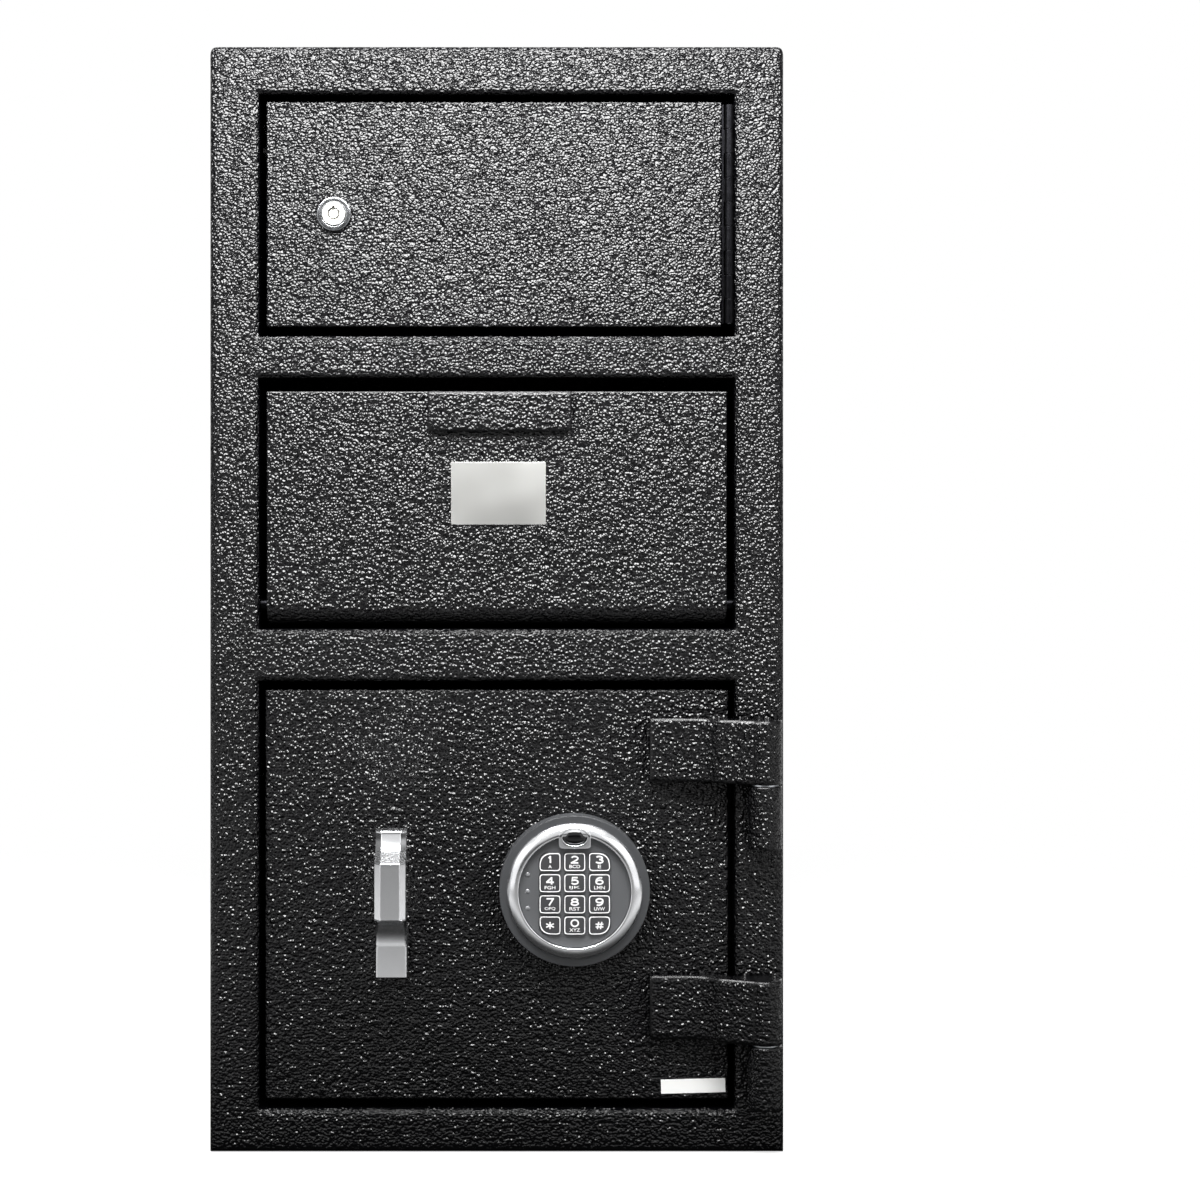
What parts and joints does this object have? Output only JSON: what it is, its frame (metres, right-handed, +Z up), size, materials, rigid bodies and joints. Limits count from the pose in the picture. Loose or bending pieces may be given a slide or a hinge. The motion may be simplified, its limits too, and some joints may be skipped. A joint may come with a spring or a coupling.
{
  "type": "drop safe",
  "caption": "Upright steel drop safe with a key locker on top, a tilting deposit hopper in the middle and a keypad-locked vault door below.",
  "frame": {"origin": "centre of the base's underside, midway between the front face and the back panel", "axes": "+Z up, +X to the right seen from the front, the front faces -Y"},
  "size_m": [0.356, 0.394, 0.686],
  "materials": {
    "black_powder_coat": "black hammer powder coat",
    "zinc_plated_steel": "zinc plated",
    "black_hinge_steel": "black oxide",
    "bright_steel": "turned and polished",
    "chrome": "bright chrome plate",
    "grey_plastic": "moulded, satin",
    "keypad_membrane": "matt overlay",
    "key_rubber": "matt rubber with pale legends",
    "black_gloss": "polished dark window",
    "lamp_plastic": "clear lamp domes",
    "circuit_board": "solder-masked board",
    "cable_jacket": "matt jacket",
    "battery_case": "bare wrapped case",
    "black_plastic": "moulded",
    "brass": "cast brass"
  },
  "bodies": {
    "cabinet": {"body_shell": "black_powder_coat", "front_frame": "black_powder_coat", "back_panel": "black_powder_coat", "base_plate": "black_powder_coat", "locker_floor": "black_powder_coat", "chute_plate": "black_powder_coat", "fish_baffle": "black_powder_coat", "frame_knuckles": "black_powder_coat", "hinge_pins": "zinc_plated_steel", "locker_frame_leaf": "black_hinge_steel", "locker_hinge_wire": "zinc_plated_steel", "hopper_pins": "black_hinge_steel"},
    "main_door": {"main_door_plate": "black_powder_coat", "upper_hinge_strap": "black_powder_coat", "lower_hinge_strap": "black_powder_coat", "dead_bar": "black_hinge_steel", "bolt_guide": "zinc_plated_steel", "guide_studs": "zinc_plated_steel", "inner_cover": "black_powder_coat", "cover_screws": "zinc_plated_steel", "lock_case": "zinc_plated_steel", "battery_tray": "black_plastic", "battery": "battery_case", "lock_cable": "cable_jacket", "keypad_base": "grey_plastic", "keypad_bezel": "chrome", "keypad_face": "keypad_membrane", "keypad_window": "black_gloss", "keypad_lamps": "lamp_plastic", "keypad_board": "circuit_board"},
    "handle": {"handle_lever": "chrome", "handle_spindle": "zinc_plated_steel", "crank_arm": "zinc_plated_steel"},
    "bolt_carriage": {"carriage_plate": "zinc_plated_steel", "locking_bolts": "bright_steel", "bolt_screws": "zinc_plated_steel"},
    "lock_bolt": {"lock_bolt": "brass"},
    "locker_door": {"locker_door_plate": "black_powder_coat", "locker_door_leaf": "black_hinge_steel", "lock_barrel": "zinc_plated_steel", "lock_nut": "zinc_plated_steel"},
    "locker_cam": {"lock_plug": "chrome", "lock_cam": "zinc_plated_steel", "cam_nut": "zinc_plated_steel"},
    "hopper": {"hopper_door": "black_powder_coat", "hopper_cheeks": "black_powder_coat", "hopper_tray": "black_powder_coat", "pull_tab": "black_powder_coat"},
    "key_1": {"key_1": "key_rubber"},
    "key_2": {"key_2": "key_rubber"},
    "key_3": {"key_3": "key_rubber"},
    "key_4": {"key_4": "key_rubber"},
    "key_5": {"key_5": "key_rubber"},
    "key_6": {"key_6": "key_rubber"},
    "key_7": {"key_7": "key_rubber"},
    "key_8": {"key_8": "key_rubber"},
    "key_9": {"key_9": "key_rubber"},
    "key_star": {"key_star": "key_rubber"},
    "key_0": {"key_0": "key_rubber"},
    "key_hash": {"key_hash": "key_rubber"}
  },
  "joints": [
    {"name": "main_door_swing", "type": "hinge", "parent": "cabinet", "child": "main_door", "pos_m": [0.1646, -0.1889, 0.16], "axis": [0, 0, 1], "range_deg": [0, 180]},
    {"name": "handle_turn", "type": "hinge", "parent": "main_door", "child": "handle", "pos_m": [-0.0644, -0.168, 0.122], "axis": [0, -1, 0], "range_deg": [0, 60]},
    {"name": "bolt_slide", "type": "slide", "parent": "main_door", "child": "bolt_carriage", "axis": [-1, 0, 0], "range_m": [0, 0.0201]},
    {"name": "lock_bolt_slide", "type": "slide", "parent": "main_door", "child": "lock_bolt", "axis": [-1, 0, 0], "range_m": [0, 0.0161]},
    {"name": "locker_door_swing", "type": "hinge", "parent": "cabinet", "child": "locker_door", "pos_m": [0.1444, -0.174, 0.5821], "axis": [0, 0, 1], "range_deg": [0, 115]},
    {"name": "locker_key_turn", "type": "hinge", "parent": "locker_door", "child": "locker_cam", "pos_m": [-0.1012, -0.163, 0.5821], "axis": [0, 1, 0], "range_deg": [0, 90]},
    {"name": "hopper_tilt", "type": "hinge", "parent": "cabinet", "child": "hopper", "pos_m": [0, -0.162, 0.3388], "axis": [1, 0, 0], "range_deg": [0, 50]},
    {"name": "key_1_press", "type": "slide", "parent": "main_door", "child": "key_1", "axis": [0, 1, 0], "range_m": [0, 0.0008], "stiffness_N_per_m": 600},
    {"name": "key_2_press", "type": "slide", "parent": "main_door", "child": "key_2", "axis": [0, 1, 0], "range_m": [0, 0.0008], "stiffness_N_per_m": 600},
    {"name": "key_3_press", "type": "slide", "parent": "main_door", "child": "key_3", "axis": [0, 1, 0], "range_m": [0, 0.0008], "stiffness_N_per_m": 600},
    {"name": "key_4_press", "type": "slide", "parent": "main_door", "child": "key_4", "axis": [0, 1, 0], "range_m": [0, 0.0008], "stiffness_N_per_m": 600},
    {"name": "key_5_press", "type": "slide", "parent": "main_door", "child": "key_5", "axis": [0, 1, 0], "range_m": [0, 0.0008], "stiffness_N_per_m": 600},
    {"name": "key_6_press", "type": "slide", "parent": "main_door", "child": "key_6", "axis": [0, 1, 0], "range_m": [0, 0.0008], "stiffness_N_per_m": 600},
    {"name": "key_7_press", "type": "slide", "parent": "main_door", "child": "key_7", "axis": [0, 1, 0], "range_m": [0, 0.0008], "stiffness_N_per_m": 600},
    {"name": "key_8_press", "type": "slide", "parent": "main_door", "child": "key_8", "axis": [0, 1, 0], "range_m": [0, 0.0008], "stiffness_N_per_m": 600},
    {"name": "key_9_press", "type": "slide", "parent": "main_door", "child": "key_9", "axis": [0, 1, 0], "range_m": [0, 0.0008], "stiffness_N_per_m": 600},
    {"name": "key_star_press", "type": "slide", "parent": "main_door", "child": "key_star", "axis": [0, 1, 0], "range_m": [0, 0.0008], "stiffness_N_per_m": 600},
    {"name": "key_0_press", "type": "slide", "parent": "main_door", "child": "key_0", "axis": [0, 1, 0], "range_m": [0, 0.0008], "stiffness_N_per_m": 600},
    {"name": "key_hash_press", "type": "slide", "parent": "main_door", "child": "key_hash", "axis": [0, 1, 0], "range_m": [0, 0.0008], "stiffness_N_per_m": 600}
  ],
  "couplings": [
    {"joint": "bolt_slide", "follows": "handle_turn", "m_per_rad": 0.019099},
    {"joint": "lock_bolt_slide", "follows": "handle_turn", "m_per_rad": 0.015279}
  ]
}
